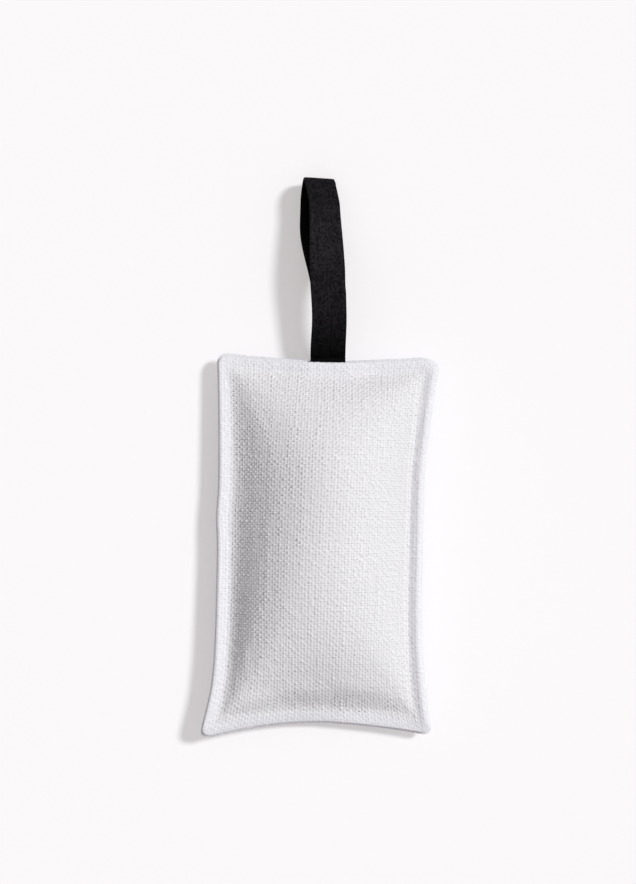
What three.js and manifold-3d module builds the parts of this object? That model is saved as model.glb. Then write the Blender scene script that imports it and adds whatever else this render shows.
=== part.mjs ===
// Scented sachet: two linen panels turned and topstitched round the edge, an inner pouch of dried
// flowers, and a hanging loop of woven tape folded in two and caught in the top seam.
// Millimetres. The sachet lies on its back, +Y towards the loop and +Z up, and the origin is the
// middle of the face that it rests on.
import * as THREE from 'three';
import { mergeVertices } from 'three/addons/utils/BufferGeometryUtils.js';
import Module from 'manifold-3d';

const wasm = await Module();
wasm.setup();

// Driving dimensions: the pouch
const POUCH_WIDTH = 87.4; // at mid-length, where the filling draws the sides in most
const POUCH_LENGTH = 164.8; // along the corners
const TOP_FLARE = 3.8; // each side spreads by this from mid-length to the top
const BOTTOM_FLARE = 6.3; // and by this to the bottom, close to the corner
const TOP_DRAW_IN = 4.4; // the filling draws each short side in by these at mid-width
const BOTTOM_DRAW_IN = 6.2;
const TOP_ARCH = 2; // power of the arch that each short side forms: the lower, the more pointed
const BOTTOM_ARCH = 1.5;
const SKEW = 2.1; // the top lies this far to the right, and the bottom to the left
const SIDEWAYS_BOW = 1.6; // both ends lie this far to the right of the middle
const KEYSTONE = 0.7; // the left corners lie this much further out than the right ones
const CORNER_RADIUS = 5;
const CORNER_SPREAD = 0.35; // growth of the corner radius for each millimetre in from the edge
const FRONT_BULGE = 20.5; // rise of the front panel from its topstitch to its crown
const BACK_BULGE = 20.5; // the same for the back panel, before the table flattens it
const SETTLE = 9.8; // depth of back bulge that the table takes up
const SIDE_FULLNESS = 1.9; // power of the arch from side to side: the lower, the straighter its flanks
const END_FULLNESS = 2; // the same for the swell from each end
const END_SLOPE = 60; // length of that swell
const CROWN_SHIFT = 6; // the highest line lies about this far to the right of the middle
const HIP = 1.5; // the lower, the softer the ridges from the corners to the crown

// Driving dimensions: cloth, seams and thread
const LINEN = 0.9;
const MUSLIN = 0.4;
const EDGE_WIDTH = 4.5; // from the turned edge to the topstitch
const HEM = 7.5; // seam allowance turned inside each panel
const HEM_STEP = 0.4; // length over which the doubled cloth ends
const PRESSED = 1.1; // doubled linen where the stitching pulls it tight
const SEAM_INSET = 1; // the joining seam lies this far inside the turned edge
const POUCH_MARGIN = 0.6; // from the end of the hem to the edge of the inner pouch
const FILL_MARGIN = 1.1; // from the edge of the inner pouch to the filling
const THREAD = 0.5;
const STITCH = 3.5;
const STITCH_RISE = 0.2;

// Driving dimensions: the hanging loop
const TAPE_WIDTH = 15;
const TAPE = 0.8;
const LOOP_LENGTH = 79; // from the turned edge to the fold
const LOOP_OPENING = 14.7; // inside the fold
const RISE_ANGLE = 50; // degrees at which the tape leaves the seam
const RISE_REACH = 20; // the longer, the further the tape holds that direction
const FOLD_TILT = 12; // degrees that the front leaf slopes down where the fold starts
const FOLD_REACH = 25; // the longer, the earlier it has that slope
const PARTING = 0.5; // share of the front leaf's curve along which the rear leaf lies under it
const LYING = 7.8; // length of rear leaf that lies on the table before the fold
const DROP_REACH = 13; // the longer, the more suddenly the rear leaf drops between them
const LOOP_LEAN = 4.1; // the fold lies this far to the left of the seam
const REAR_BOW = 1; // the rear leaf bows this much further to the left
const REAR_LEAN_FROM = 0.3; // shares of the way to the fold between which the rear leaf leans
const REAR_LEAN_TO = 0.7;
const REAR_BOW_FROM = 0.45; // and from which it bows
const TAIL_SHORT = 0.5; // the caught tape ends this far short of the hem
const BEND_OUT = 2.8; // from the turned edge to the line where the tape bends
const SWING_UP = 70; // degrees that the loop turns towards the front panel
const SWING_DOWN = 145; // and towards the back panel
const POCKET_RAMP = 4; // the panels close beside the tape over this length
const POCKET_FADE = 3.1; // and behind the hem over this length

const CLEARANCE = 0.3; // between pieces that touch

// Values that follow from them
const halfWidth = POUCH_WIDTH / 2;
const halfLength = POUCH_LENGTH / 2;
const halfGap = CLEARANCE / 2;
const hemEnd = HEM + HEM_STEP;
const pouchInset = hemEnd + POUCH_MARGIN;
const fillInset = pouchInset + FILL_MARGIN;
const stitchHeight = halfGap + PRESSED; // of the stitched groove, from the seam plane
const seamZ = stitchHeight + BACK_BULGE - SETTLE;
const spineHalf = halfWidth / 10; // half the width of the strip along the crown
const spineInset = halfWidth - spineHalf;
const topEdgeY = halfLength - TOP_DRAW_IN;
const loopX = SKEW + SIDEWAYS_BOW; // middle of the top edge
const pocketHalf = TAPE_WIDTH / 2 + 2 * CLEARANCE;
const pocketRise = TAPE + CLEARANCE;
const pocketReach = hemEnd + POCKET_FADE;
const tapeMid = halfGap + TAPE / 2; // middle of either leaf at the seam, from the seam plane
const beadRadius = halfGap + TAPE; // the two leaves, pressed together
const bendY = topEdgeY + BEND_OUT;
const foldRadius = (LOOP_OPENING + TAPE) / 2; // to the middle of the tape
const foldY = topEdgeY + LOOP_LENGTH - TAPE / 2 - foldRadius;
const foldCentre = new THREE.Vector2(foldY, foldRadius + TAPE / 2); // along Y and Z

const lerp = THREE.MathUtils.lerp;
const clamp01 = (t) => THREE.MathUtils.clamp(t, 0, 1);

// Plan of the pouch
// A ring is the outline that lies `inset` inside the turned edge, before the filling draws it in. It
// runs counter-clockwise from the bottom of the right side.

// Places along a long side, from -1 to 1: closest where it flares.
const sidePlaces = [-1, -0.86, -0.68, -0.4, -0.05, 0.3, 0.6, 0.84, 1];
const CORNER_STEPS = 3;
const ROUNDEST = 0.9; // largest corner radius, as a share of the ring's half width

// Places along one short side, from -1 to 1, with the tape's pocket at its real width.
function shortSidePlaces(straight) {
  const pocket = Math.min(pocketHalf / straight, 1 / 3);
  const ramp = Math.min((pocketHalf + POCKET_RAMP) / straight, 2 / 3);
  const half = [pocket, ramp, (ramp + 1) / 2, 1];
  return [...half.map((t) => -t).reverse(), ...half];
}

function ring(inset) {
  const a = halfWidth - inset;
  const b = halfLength - inset;
  const radius = Math.min(CORNER_RADIUS + CORNER_SPREAD * inset, ROUNDEST * a);
  const straightX = a - radius;
  const straightY = b - radius;
  const across = shortSidePlaces(straightX);
  const points = [];
  const corner = (sx, sy, from) => {
    for (let i = 1; i < CORNER_STEPS; i++) {
      const angle = from + (Math.PI / 2) * (i / CORNER_STEPS);
      const x = sx * straightX + radius * Math.cos(angle);
      const y = sy * straightY + radius * Math.sin(angle);
      points.push(new THREE.Vector2(x, y));
    }
  };
  const longSide = (side) => {
    const upwards = side > 0 ? sidePlaces : sidePlaces.toReversed();
    upwards.forEach((t) => points.push(new THREE.Vector2(side * a, t * straightY)));
  };
  const shortSide = (side) => {
    across.forEach((t) => points.push(new THREE.Vector2(-side * t * straightX, side * b)));
  };
  longSide(1);
  corner(1, 1, 0);
  shortSide(1);
  corner(-1, 1, Math.PI / 2);
  longSide(-1);
  corner(-1, -1, Math.PI);
  shortSide(-1);
  corner(1, -1, 1.5 * Math.PI);
  return points;
}

// The filling draws the sides and the ends in, and the pouch lies a little askew.
function drawnIn({ x, y }) {
  const across = x / halfWidth;
  const along = y / halfLength;
  const upwards = (1 + along) / 2;
  const flare = along > 0 ? TOP_FLARE * along ** 2 : BOTTOM_FLARE * along ** 4;
  const arch = 1 - Math.abs(across) ** lerp(BOTTOM_ARCH, TOP_ARCH, upwards);
  const endDraw = lerp(BOTTOM_DRAW_IN, TOP_DRAW_IN, upwards) * arch;
  const sideways = SKEW * along + SIDEWAYS_BOW * along ** 2;
  return new THREE.Vector2(
    across * (halfWidth + flare) + sideways,
    along * (halfLength - endDraw - KEYSTONE * across),
  );
}

// Heights from the seam plane, by the inset and the place in the plan

// A bulge that starts at the inset `start` and reaches `rise` along the crown. The arch across and the
// swell from the end both hold it down, so that it is lowest in the corners.
function bulge(p, start, rise) {
  const half = halfWidth - start;
  const shifted = p.x - CROWN_SHIFT * clamp01(1 - (p.x / half) ** 2);
  const across = 1 - clamp01(Math.abs(shifted) / half) ** SIDE_FULLNESS;
  const fromEnd = clamp01((halfLength - start - Math.abs(p.y)) / END_SLOPE);
  const along = 1 - (1 - fromEnd) ** END_FULLNESS;
  return rise * (across ** -HIP + along ** -HIP - 1) ** (-1 / HIP);
}

// The doubled edge is a soft roll between the turned edge and the topstitch.
function roll(inset) {
  const across = clamp01(inset / EDGE_WIDTH);
  const round = Math.sqrt(1 - (2 * across - 1) ** 2);
  return stitchHeight + (2 * LINEN - PRESSED) * round;
}

// Room for the caught ends of the tape between the two panels.
function pocket(inset, p) {
  if (p.y < 0) return 0;
  const beside = clamp01((pocketHalf + POCKET_RAMP - Math.abs(p.x)) / POCKET_RAMP);
  const behind = clamp01((pocketReach - inset) / POCKET_FADE);
  return pocketRise * beside * behind;
}

function panelOuter(inset, p, rise) {
  return roll(inset) + bulge(p, EDGE_WIDTH, rise);
}

// The cloth is double as far as the hem reaches, and single from there.
function panelThickness(inset) {
  if (inset <= HEM) {
    return lerp(PRESSED, 2 * LINEN, clamp01((inset - EDGE_WIDTH) / (HEM - EDGE_WIDTH)));
  }
  return lerp(2 * LINEN, LINEN, clamp01((inset - HEM) / HEM_STEP));
}

// Inside face of a panel whose outside face is at `outer`. A shallow groove holds the seam thread.
function panelInner(inset, outer) {
  if (inset === SEAM_INSET) return halfGap + THREAD / 2 + CLEARANCE / 2;
  return inset <= EDGE_WIDTH ? halfGap : outer - panelThickness(inset);
}

const overSeam = (inset, p, height) => seamZ + height + pocket(inset, p);
const underSeam = (inset, p, height) => seamZ - height - pocket(inset, p);

const frontOuterZ = (inset, p) => overSeam(inset, p, panelOuter(inset, p, FRONT_BULGE));
const frontInnerZ = (inset, p) =>
  overSeam(inset, p, panelInner(inset, panelOuter(inset, p, FRONT_BULGE)));

// The table stops the back panel at z = 0, and each layer above it by its own cloth.
const backDepth = (inset, p) =>
  Math.min(panelOuter(inset, p, BACK_BULGE), seamZ - pocket(inset, p));
const backOuterZ = (inset, p) => underSeam(inset, p, backDepth(inset, p));
const backInnerZ = (inset, p) => underSeam(inset, p, panelInner(inset, backDepth(inset, p)));

// The inner pouch follows the panels.
const pouchEdge = halfGap + MUSLIN;
const pouchFloor = LINEN + CLEARANCE;
function pouchHeight(p, panelBulge) {
  const crown = stitchHeight + panelBulge - LINEN - CLEARANCE;
  return pouchEdge + bulge(p, pouchInset, crown - pouchEdge);
}
const pouchFrontOuterZ = (inset, p) => seamZ + pouchHeight(p, FRONT_BULGE);
const pouchFrontInnerZ = (inset, p) => pouchFrontOuterZ(inset, p) - MUSLIN;
const pouchBackOuterZ = (inset, p) =>
  Math.max(seamZ - pouchHeight(p, BACK_BULGE), pouchFloor);
const pouchBackInnerZ = (inset, p) => pouchBackOuterZ(inset, p) + MUSLIN;

// The filling follows the inner pouch.
const fillEdge = MUSLIN; // half the thickness of the filling at its edge
const fillFloor = pouchFloor + MUSLIN + CLEARANCE;
function fillHeight(p, panelBulge) {
  const crown = stitchHeight + panelBulge - LINEN - MUSLIN - 2 * CLEARANCE;
  return fillEdge + bulge(p, fillInset, crown - fillEdge);
}
const fillTopZ = (inset, p) => seamZ + fillHeight(p, FRONT_BULGE);
const fillBottomZ = (inset, p) => Math.max(seamZ - fillHeight(p, BACK_BULGE), fillFloor);

// Rings that every layer shares from the hem inwards, so that stacked faces run parallel. They lie
// closest where the cloth curves most.
const crownInsets = [0, 0.17, 0.39, 0.68, 1].map((t) => lerp(pocketReach, spineInset, t));
const rollInsets = [0, 0.11, 0.5, 0.76, 1].map((t) => t * EDGE_WIDTH).concat(SEAM_INSET);
const hemInsets = [(EDGE_WIDTH + HEM) / 2, HEM, hemEnd];
const panelInsets = [...rollInsets, ...hemInsets, ...crownInsets].sort((m, n) => m - n);

// Solids

function closedGeometry(vertices, triangles) {
  const geometry = new THREE.BufferGeometry();
  const flat = vertices.flatMap((v) => [v.x, v.y, v.z]);
  geometry.setAttribute('position', new THREE.Float32BufferAttribute(flat, 3));
  geometry.setIndex(triangles.flat());
  geometry.computeVertexNormals();
  return geometry;
}

// The strip inside the last ring, between its right half and its left half.
function spineTriangles(first, count) {
  const triangles = [];
  const leftEnd = count / 2 + sidePlaces.length - 1;
  const start = (count + leftEnd + 1) / 2;
  const right = (step) => first + ((start + step) % count);
  const left = (step) => first + ((leftEnd - start - step + 2 * count) % count);
  for (let i = 0; i + 1 < count / 2; i++) {
    triangles.push([right(i), right(i + 1), left(i + 1)], [right(i), left(i + 1), left(i)]);
  }
  return triangles;
}

// A solid between an upper and a lower face over the same rings, from the outermost inwards.
function layeredSolid(insets, upperZ, lowerZ) {
  const vertices = [];
  const triangles = [];
  const count = ring(0).length;
  const layer = (z) => {
    insets.forEach((inset) => {
      ring(inset).forEach((p) => {
        const plan = drawnIn(p);
        vertices.push(new THREE.Vector3(plan.x, plan.y, z(inset, p)));
      });
    });
  };
  layer(upperZ);
  layer(lowerZ);
  const lowerStart = insets.length * count;
  const faces = [];
  for (let k = 0; k + 1 < insets.length; k++) {
    for (let i = 0; i < count; i++) {
      const j = (i + 1) % count;
      const [a, b] = [k * count + i, k * count + j];
      faces.push([a, b, b + count], [a, b + count, a + count]);
    }
  }
  faces.push(...spineTriangles((insets.length - 1) * count, count));
  faces.forEach(([a, b, c]) => {
    triangles.push([a, b, c], [lowerStart + a, lowerStart + c, lowerStart + b]);
  });
  for (let i = 0; i < count; i++) {
    const j = (i + 1) % count;
    triangles.push([i, lowerStart + i, lowerStart + j], [i, lowerStart + j, j]);
  }
  return closedGeometry(vertices, triangles);
}

// A closed line round the pouch at one inset, with its height given by `z`.
function lineRound(inset, z) {
  return ring(inset).map((p) => {
    const plan = drawnIn(p);
    return new THREE.Vector3(plan.x, plan.y, z(inset, p));
  });
}

// The same line as equal steps, two to a stitch: the thread rises between the needle holes.
function stitched(line, rise) {
  const path = new THREE.CurvePath();
  line.forEach((p, i) => path.add(new THREE.LineCurve3(p, line[(i + 1) % line.length])));
  const steps = 2 * Math.round(path.getLength() / STITCH);
  return Array.from({ length: steps }, (_, i) => {
    const point = path.getPointAt(i / steps);
    point.z += i % 2 ? rise : 0;
    return point;
  });
}

// A closed thread along a line, with `sides` flats.
function threadRing(line, sides) {
  const up = new THREE.Vector3(0, 0, 1);
  const vertices = [];
  const triangles = [];
  line.forEach((p, i) => {
    const before = line[(i + line.length - 1) % line.length];
    const after = line[(i + 1) % line.length];
    const along = after.clone().sub(before).setZ(0).normalize();
    const outward = along.clone().cross(up);
    for (let k = 0; k < sides; k++) {
      const angle = Math.PI / 2 + (2 * Math.PI * k) / sides;
      const round = outward.clone().multiplyScalar((Math.cos(angle) * THREAD) / 2);
      vertices.push(round.addScaledVector(up, (Math.sin(angle) * THREAD) / 2).add(p));
    }
  });
  for (let i = 0; i < line.length; i++) {
    const next = (i + 1) % line.length;
    for (let k = 0; k < sides; k++) {
      const turn = (k + 1) % sides;
      const [a, b] = [i * sides + k, i * sides + turn];
      const [c, d] = [next * sides + k, next * sides + turn];
      triangles.push([a, c, d], [a, d, b]);
    }
  }
  return closedGeometry(vertices, triangles);
}

// Joining and cutting

function solidOf(geometry) {
  const bare = geometry.clone();
  bare.deleteAttribute('normal');
  bare.deleteAttribute('uv');
  const merged = mergeVertices(bare);
  const mesh = new wasm.Mesh({
    numProp: 3,
    vertProperties: new Float32Array(merged.attributes.position.array),
    triVerts: new Uint32Array(merged.index.array),
  });
  return new wasm.Manifold(mesh);
}

function geometryOf(solid) {
  const mesh = solid.getMesh();
  const geometry = new THREE.BufferGeometry();
  geometry.setAttribute('position', new THREE.BufferAttribute(mesh.vertProperties, 3));
  geometry.setIndex(new THREE.BufferAttribute(mesh.triVerts, 1));
  geometry.computeVertexNormals();
  return geometry;
}

const BAR_SIDES = 16;

// A round bar across the tape.
function barAcross(radius, length, y) {
  const bar = new THREE.CylinderGeometry(radius, radius, length, BAR_SIDES);
  return bar.rotateZ(Math.PI / 2).translate(loopX, y, seamZ);
}

// The hanging loop

const LEAF_STEPS = 14;
const FOLD_STEPS = 12;
const DROP_STEPS = 8;

// Sideways place of the tape, by the share of the way from the seam to the fold.
const frontLeanX = (t) => loopX - LOOP_LEAN * t ** 3;
function rearLeanX(t) {
  const lean = THREE.MathUtils.smoothstep(t, REAR_LEAN_FROM, REAR_LEAN_TO);
  const bow = Math.sin(Math.PI * clamp01((t - REAR_BOW_FROM) / (1 - REAR_BOW_FROM)));
  return loopX - LOOP_LEAN * lean - REAR_BOW * bow;
}

// A step seen along X, at an angle in degrees that turns from +Y to +Z.
function step(length, angle) {
  const turn = THREE.MathUtils.degToRad(angle);
  return new THREE.Vector2(length * Math.cos(turn), length * Math.sin(turn));
}

// A curve seen along X that leaves `from` and reaches `to` along the given steps.
const easedCurve = (from, leaving, arriving, to) =>
  new THREE.CubicBezierCurve(from, from.clone().add(leaving), to.clone().sub(arriving), to);

// Middle line of the tape. The front leaf rises out of the seam in an arch and comes down to the fold.
// The rear leaf lies under it at first, and then drops until it lies on the table.
function tapeLine() {
  const root = new THREE.Vector2(bendY, seamZ).add(step(tapeMid, RISE_ANGLE + 90));
  const foldTop = foldCentre.clone().add(step(foldRadius, 90 - FOLD_TILT));
  const rise = step(RISE_REACH, RISE_ANGLE);
  const front = easedCurve(root, rise, step(FOLD_REACH, -FOLD_TILT), foldTop);
  const under = (t) => {
    const along = front.getTangent(t);
    return front.getPoint(t).add(new THREE.Vector2(along.y, -along.x).multiplyScalar(2 * tapeMid));
  };
  const parting = front.getTangent(PARTING).multiplyScalar(DROP_REACH);
  const landing = new THREE.Vector2(foldCentre.x - LYING, TAPE / 2);
  const drop = easedCurve(under(PARTING), parting, step(DROP_REACH, 0), landing);
  const line = [];
  const add = ({ x: y, y: z }, leanX) => {
    const share = clamp01((y - bendY) / (foldCentre.x - bendY));
    line.push(new THREE.Vector3(leanX(share), y, z));
  };
  for (let i = 0; i <= LEAF_STEPS; i++) add(front.getPoint(i / LEAF_STEPS), frontLeanX);
  for (let i = 1; i <= FOLD_STEPS; i++) {
    const angle = lerp(90 - FOLD_TILT, -90, i / FOLD_STEPS);
    add(foldCentre.clone().add(step(foldRadius, angle)), rearLeanX);
  }
  for (let i = DROP_STEPS; i >= 0; i--) add(drop.getPoint(i / DROP_STEPS), rearLeanX);
  for (let i = Math.ceil(PARTING * LEAF_STEPS) - 1; i >= 0; i--) add(under(i / LEAF_STEPS), rearLeanX);
  return line;
}

// A strip of tape whose width lies along X.
function tapeStrip(line) {
  const vertices = [];
  const triangles = [];
  line.forEach((p, i) => {
    const before = line[Math.max(i - 1, 0)];
    const after = line[Math.min(i + 1, line.length - 1)];
    const along = after.clone().sub(before).setX(0).normalize();
    const outer = new THREE.Vector3(0, -along.z, along.y).multiplyScalar(TAPE / 2);
    const side = new THREE.Vector3(TAPE_WIDTH / 2, 0, 0);
    vertices.push(p.clone().add(side).add(outer), p.clone().sub(side).add(outer));
    vertices.push(p.clone().sub(side).sub(outer), p.clone().add(side).sub(outer));
  });
  const quad = (a, b, c, d) => triangles.push([a, b, c], [a, c, d]);
  for (let i = 0; i + 1 < line.length; i++) {
    for (let k = 0; k < 4; k++) {
      const turn = (k + 1) % 4;
      quad(4 * i + k, 4 * (i + 1) + k, 4 * (i + 1) + turn, 4 * i + turn);
    }
  }
  const last = 4 * (line.length - 1);
  quad(0, 1, 2, 3);
  quad(last, last + 3, last + 2, last + 1);
  return closedGeometry(vertices, triangles);
}

function hangingLoop() {
  const bead = barAcross(beadRadius, TAPE_WIDTH, bendY);
  return geometryOf(solidOf(tapeStrip(tapeLine())).add(solidOf(bead)));
}

// Room that the loop needs at the end of its swing, beside the line where the tape bends.
function swingRoom(side) {
  const thickness = beadRadius + CLEARANCE;
  const room = new THREE.BoxGeometry(2 * TAPE_WIDTH, LOOP_LENGTH, thickness);
  room.translate(0, LOOP_LENGTH / 2, (side * thickness) / 2);
  const swing = side > 0 ? SWING_UP : -SWING_DOWN;
  room.rotateX(THREE.MathUtils.degToRad(RISE_ANGLE + swing));
  return room.translate(loopX, bendY, seamZ);
}

// One caught end of the tape: cut off clear of the swinging loop, and notched by the seam.
function loopTail(side) {
  const inner = topEdgeY - HEM + TAIL_SHORT;
  const strip = new THREE.BoxGeometry(TAPE_WIDTH, bendY - inner, TAPE);
  strip.translate(loopX, (bendY + inner) / 2, seamZ + side * tapeMid);
  const bend = barAcross(beadRadius + CLEARANCE, 2 * TAPE_WIDTH, bendY);
  const seamY = drawnIn(new THREE.Vector2(pocketHalf, halfLength - SEAM_INSET)).y;
  const notch = barAcross(THREAD / 2 + CLEARANCE, 2 * TAPE_WIDTH, seamY);
  const cuts = [bend, swingRoom(side), notch];
  return geometryOf(cuts.reduce((tail, cut) => tail.subtract(solidOf(cut)), solidOf(strip)));
}

// Materials

const finish = (color, roughness) =>
  new THREE.MeshStandardMaterial({ color, roughness, metalness: 0 });
const linen = finish(0xeeedee, 0.9);
const muslin = finish(0xe9e4d8, 0.95);
const flowers = finish(0x8d86a0, 1);
const cotton = finish(0xf2f1f1, 0.7);
const tape = finish(0x131216, 0.8);

// Assembly

const sachet = new THREE.Group();

function addPiece(parent, name, geometry, material) {
  const mesh = new THREE.Mesh(geometry, material);
  mesh.name = name;
  parent.add(mesh);
}

const pouch = new THREE.Group();
sachet.add(pouch);
const pouchInsets = [pouchInset, ...crownInsets];
const fillInsets = [fillInset, ...crownInsets];
addPiece(pouch, 'front_panel', layeredSolid(panelInsets, frontOuterZ, frontInnerZ), linen);
addPiece(pouch, 'back_panel', layeredSolid(panelInsets, backInnerZ, backOuterZ), linen);
addPiece(
  pouch,
  'inner_pouch_front',
  layeredSolid(pouchInsets, pouchFrontOuterZ, pouchFrontInnerZ),
  muslin,
);
addPiece(
  pouch,
  'inner_pouch_back',
  layeredSolid(pouchInsets, pouchBackInnerZ, pouchBackOuterZ),
  muslin,
);
addPiece(pouch, 'flower_filling', layeredSolid(fillInsets, fillTopZ, fillBottomZ), flowers);

const threadLift = CLEARANCE + 1.2 * (THREAD / 2); // clear of both sides of the stitched groove
const needleLine = lineRound(EDGE_WIDTH, (inset, p) => frontOuterZ(inset, p) + threadLift);
const bobbinLine = lineRound(EDGE_WIDTH, (inset, p) => backOuterZ(inset, p) - threadLift);
const seamLine = lineRound(SEAM_INSET, () => seamZ);
addPiece(pouch, 'topstitch_needle_thread', threadRing(stitched(needleLine, STITCH_RISE), 3), cotton);
addPiece(pouch, 'topstitch_bobbin_thread', threadRing(stitched(bobbinLine, -STITCH_RISE), 3), cotton);
addPiece(pouch, 'edge_seam_thread', threadRing(seamLine, 4), cotton);
addPiece(pouch, 'loop_tail_front', loopTail(1), tape);
addPiece(pouch, 'loop_tail_back', loopTail(-1), tape);

const loop = new THREE.Group();
sachet.add(loop);
addPiece(loop, 'hanging_loop', hangingLoop(), tape);

export default sachet;
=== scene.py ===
# Scented sachet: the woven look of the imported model, with its floor, light and camera.

import math

import bpy
import numpy as np
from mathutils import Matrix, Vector


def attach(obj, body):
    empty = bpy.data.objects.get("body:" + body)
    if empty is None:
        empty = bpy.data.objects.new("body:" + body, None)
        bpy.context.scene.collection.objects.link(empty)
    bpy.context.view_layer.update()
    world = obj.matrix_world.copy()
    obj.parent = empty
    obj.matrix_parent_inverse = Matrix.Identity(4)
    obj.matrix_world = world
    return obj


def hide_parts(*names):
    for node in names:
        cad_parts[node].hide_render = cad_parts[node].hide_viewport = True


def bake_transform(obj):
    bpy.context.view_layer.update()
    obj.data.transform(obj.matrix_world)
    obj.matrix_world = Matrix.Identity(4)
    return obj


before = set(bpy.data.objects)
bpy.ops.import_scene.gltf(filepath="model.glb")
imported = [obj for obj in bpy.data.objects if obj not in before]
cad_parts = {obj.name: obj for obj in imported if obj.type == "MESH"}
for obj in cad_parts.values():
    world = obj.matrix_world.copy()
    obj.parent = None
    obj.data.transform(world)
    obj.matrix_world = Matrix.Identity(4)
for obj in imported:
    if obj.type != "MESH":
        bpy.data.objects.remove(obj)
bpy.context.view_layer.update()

# Sizes in millimetres, the same as in the CAD source

MM = 0.001
HALF_WIDTH = 43.7
HALF_LENGTH = 82.4
TOP_FLARE = 3.8
BOTTOM_FLARE = 6.3
TOP_DRAW_IN = 4.4
BOTTOM_DRAW_IN = 6.2
TOP_ARCH = 2
BOTTOM_ARCH = 1.5
SKEW = 2.1
SIDEWAYS_BOW = 1.6
KEYSTONE = 0.7
CORNER_RADIUS = 5
CORNER_SPREAD = 0.35
SEAM_Z = 11.95
LINEN = 0.9
MUSLIN = 0.4
EDGE_WIDTH = 4.5
SEAM_INSET = 1
POUCH_INSET = 8.5
FILL_INSET = 9.6
STITCH = 3.5
TAPE_WIDTH = 15
TAPE = 0.8
MOST_CORNER = 0.9  # share of the half width that a corner's radius may reach
LOOP_X = SKEW + SIDEWAYS_BOW
TAPE_MID = 0.55
BEND_Y = 80.8
FOLD_RADIUS = 7.75
FOLD_Y = 148.85
FOLD_Z = FOLD_RADIUS + TAPE / 2
FOLD_TILT = math.radians(12)
RISE_ANGLE = math.radians(50)
RISE_REACH = 20
FOLD_REACH = 25
PARTING = 0.5
LYING = 7.8
DROP_REACH = 13
TAIL_Y = 71
POCKET_HALF = 8.1
POCKET_RISE = 1.1
POCKET_REACH = 11
POCKET_RAMP = 4
POCKET_FADE = 3.1

# Sizes of what only the picture shows

WARPS = 78
WEFTS = 154
WARP_PITCH = 1.3
WEFT_PITCH = 1.1
SEED = 7

BULGE = 21  # height of the crown over the edge
CROWN_SHIFT = 3.8  # how far right of the middle the crown is highest
LEFT_FULLNESS = (3.6, 1.95)  # how soon the crown reaches its height, at the bottom and the top
RIGHT_FULLNESS = 2.1
END_FULLNESS = 2.4
LEFT_VALLEY_TOP = 8  # how softly the crown leaves the left edge at its top
LEFT_TOP_START = 2  # how much further out the crown starts there
SIDE_CHANGE = 60  # half the length over which the left side changes from bottom to top
BOTTOM_SLOPE = 76  # length of the crown's slope up from an end
TOP_SLOPE = 62
RIGHT_EASE = 0.1  # how much longer the end slopes are on the right
HIP = 1.9  # how sharply the slopes of a side and an end meet
BOTTOM_HIP = 2.8
RIGHT_HIP = 2.1
BOTTOM_GAP = 2  # how much further inside the crown starts at the bottom right
BOTTOM_GAP_REACH = 30

BOTTOM_LEFT_ARCH = 2.2
ARCH_CHANGE = 0.2  # share of the half width over which the bottom's arch changes
CORNER_PULL = (1, 1.3)  # how much lower the top left and top right corner lie
CORNER_PULL_FROM = (0.4, 0.7)  # shares of the half width and half length where that starts
CORNER_ROUND = 1.8  # how much rounder the top right corner is
CORNER_ROUND_FROM = (0.82, 0.85)
SIDE_SWELLS = (  # small bends of the side edges: the side, its place along Y, its reach, how far out
    (-1, 12, 9, 0.7),
    (-1, -76, 12, 1.1),
    (1, 31, 15, -0.6),
    (1, -82, 14, -1.2),
)
SIDE_SWELL_FROM = 0.5  # share of the half width where they start
DROOP = 3  # how far the bottom edge hangs down
DROOP_REACH = 40
LEFT_WIND = 2.2  # how far the left edge rises to its bottom end and sinks to its top end
LEFT_FROM = -5  # place along X where the left part starts
PUCKERS = ((-4.5, -67), (13, -65), (-27, -70))
PUCKER_RISE = 0.9
PUCKER_REACH = (8, 4.5)

# The next six each give a value for the left, right, bottom and top edge

VALLEY = (6, 7, 5, 3.5)  # how softly the crowned cloth leaves the edge
EDGE_ROUND = (1.2, 2.4, 1.2, 1.2)
ROLL = (0.9, 2.3, 0.2, 0)  # height of the rolled edge over the topstitched groove
ROLL_REACH = (6, 6.5, 6, 5)  # inset where the roll ends
EDGE_LIFT = (0.4, 0, -2, 0)  # how far the edge curls up
EDGE_STRETCH = (0.5, 0.3, 0.3, 0.15)  # share of the weave's relief that is pulled flat

RING_ROUNDS = 12  # rounds in which the inset of a place settles
SIDE_BLEND = 8  # half the length over which one edge passes into the next
ROLL_AT_CORNER = 0.4  # share of its height left at the corners
LIFT_REACH = EDGE_WIDTH + 1
LIFT_CURL = 1.3
LIFT_SPAN = (20, -25)  # places along X where the lift starts and is full
GROOVE_HEIGHT = 1.05  # of the groove over the seam
FOLD_HEIGHT = 0.95  # of the outermost line of the edge
FOLD_DEPTH = 0.6
FOLD_ARC = 1.1
HEM_HEIGHT = 0.27  # of the turned-under cloth
WRAP = 2.9  # cloth that goes round the edge and under
BACK_SPREAD_X = 0.5  # how far the back panel shows past the front one
BACK_SPREAD_Y = 0.8
FLOOR_CLEAR = 0.25
FLOOR_SOFTNESS = 1.2


# Helpers

def lerp(a, b, t):
    return a + (b - a) * t


def clamp01(t):
    return np.clip(t, 0, 1)


def smoothstep(low, high, value):
    t = clamp01((value - low) / (high - low))
    return t * t * (3 - 2 * t)


def grid_faces(rows, columns, first=0, flip=False):
    corner = first + np.arange(rows - 1)[:, None] * columns + np.arange(columns - 1)[None, :]
    quads = np.stack([corner, corner + 1, corner + columns + 1, corner + columns], axis=-1)
    quads = quads.reshape(-1, 4)
    return (quads[:, ::-1] if flip else quads).tolist()


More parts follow.
